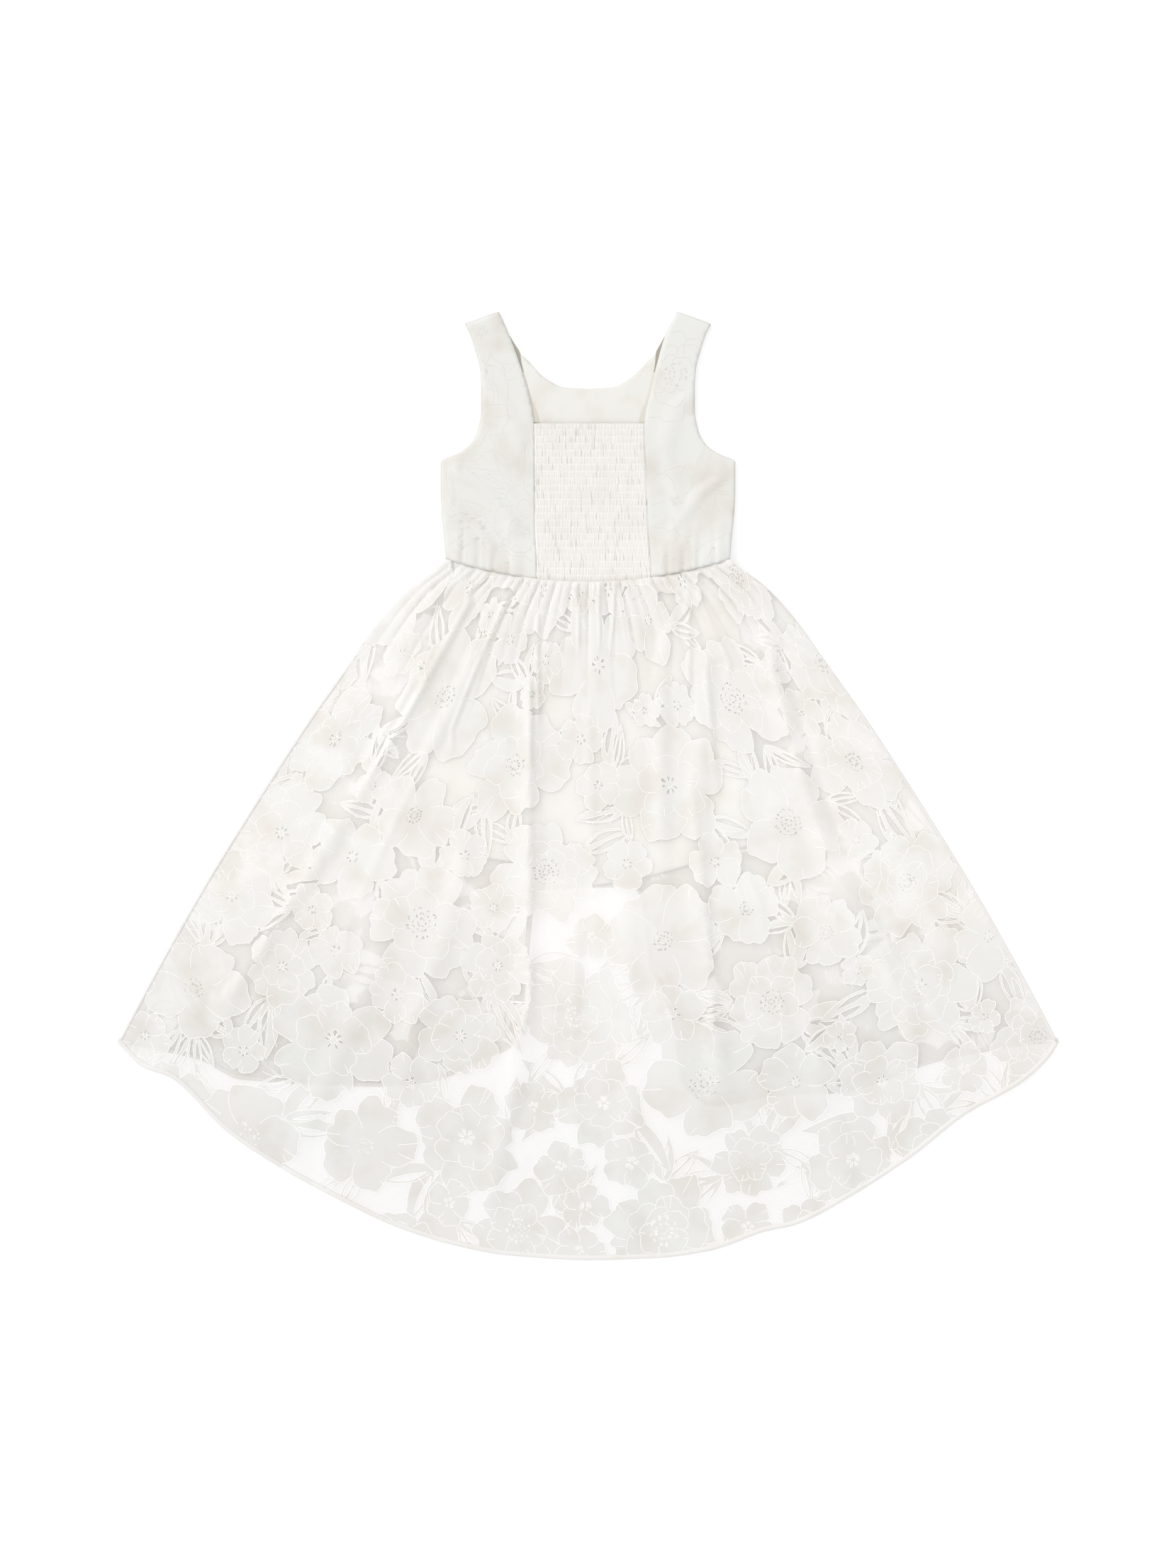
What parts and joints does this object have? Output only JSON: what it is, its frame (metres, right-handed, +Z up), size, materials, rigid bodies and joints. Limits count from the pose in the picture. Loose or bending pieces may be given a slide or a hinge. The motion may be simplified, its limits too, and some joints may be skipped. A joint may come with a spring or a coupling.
{
  "type": "girl's floral organza dress",
  "caption": "Girl's sleeveless ivory organza dress with a smocked back and a full gathered high-low skirt, laid flat with its back upwards.",
  "frame": {"origin": "on the surface it lies on, under the middle of the dress's length and width", "axes": "+Z up from the surface, through the cloth's thickness; +Y up the dress towards the shoulders; +X across it, to the right as seen with the back upwards"},
  "size_m": [0.9686, 0.9758, 0.0121],
  "materials": {
    "organza": "sheer with opaque floral figures and a soft sheen",
    "lining": "matt plain weave",
    "bodice": "matt with faint tone-on-tone flowers",
    "smocking": "matt, shirred with elastic"
  },
  "bodies": {
    "root": {"front_skirt": "organza", "front_skirt_lining": "lining", "back_skirt_lining": "lining", "back_skirt": "organza", "front_bodice": "bodice", "front_bodice_lining": "lining", "back_bodice_left": "bodice", "back_bodice_right": "bodice", "smocked_back_panel": "smocking"}
  },
  "joints": []
}
